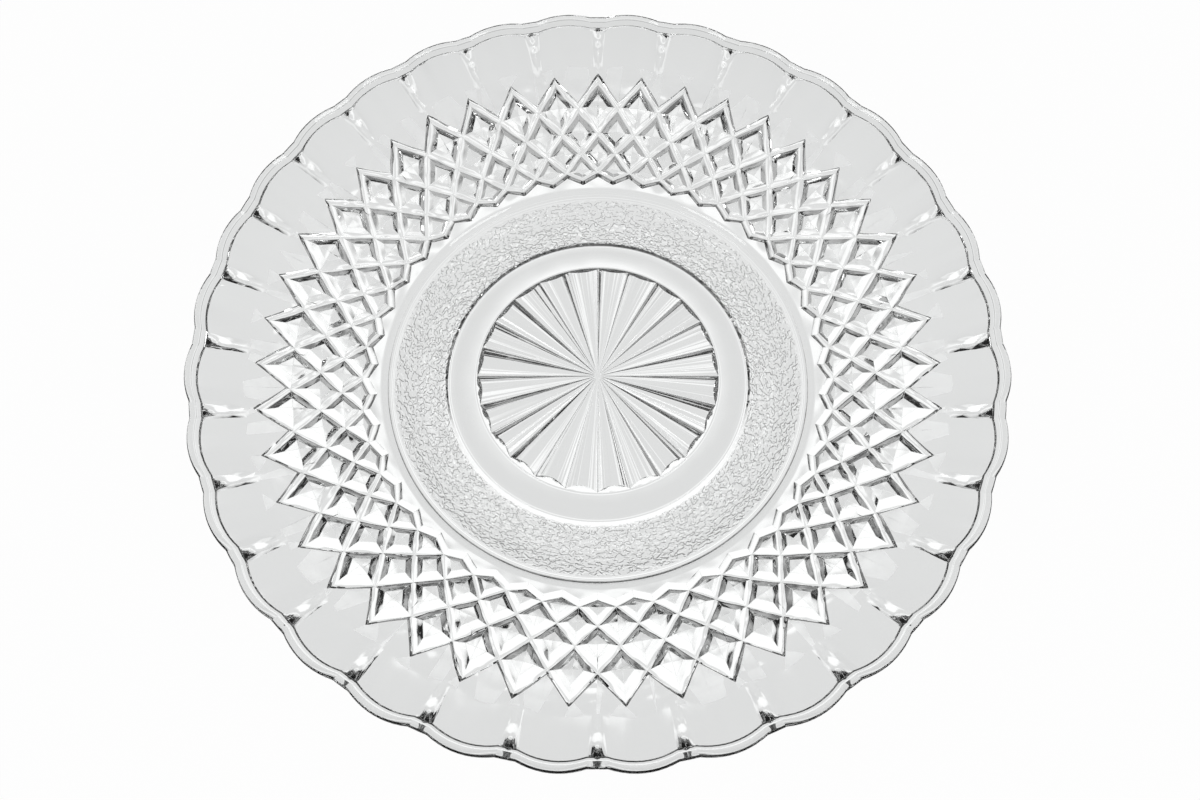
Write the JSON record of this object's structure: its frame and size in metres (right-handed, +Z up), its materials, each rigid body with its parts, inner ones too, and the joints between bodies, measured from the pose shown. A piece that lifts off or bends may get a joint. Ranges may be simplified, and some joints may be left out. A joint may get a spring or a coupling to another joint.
{
  "type": "dessert plate",
  "caption": "Round shallow plate of clear pressed glass with a star in the base, a band of raised diamonds and a fluted, scalloped rim.",
  "frame": {"origin": "on the table surface under the plate's centre", "axes": "+Z up through the plate's centre, X and Y in the table surface; a strip between two scallops lies on +Y"},
  "size_m": [0.1942, 0.1942, 0.028],
  "materials": {
    "clear_glass": "fire-polished colourless soda-lime glass with crisp pressed facets and a pebbled ring underneath"
  },
  "bodies": {
    "root": {"plate": "clear_glass"}
  },
  "joints": []
}
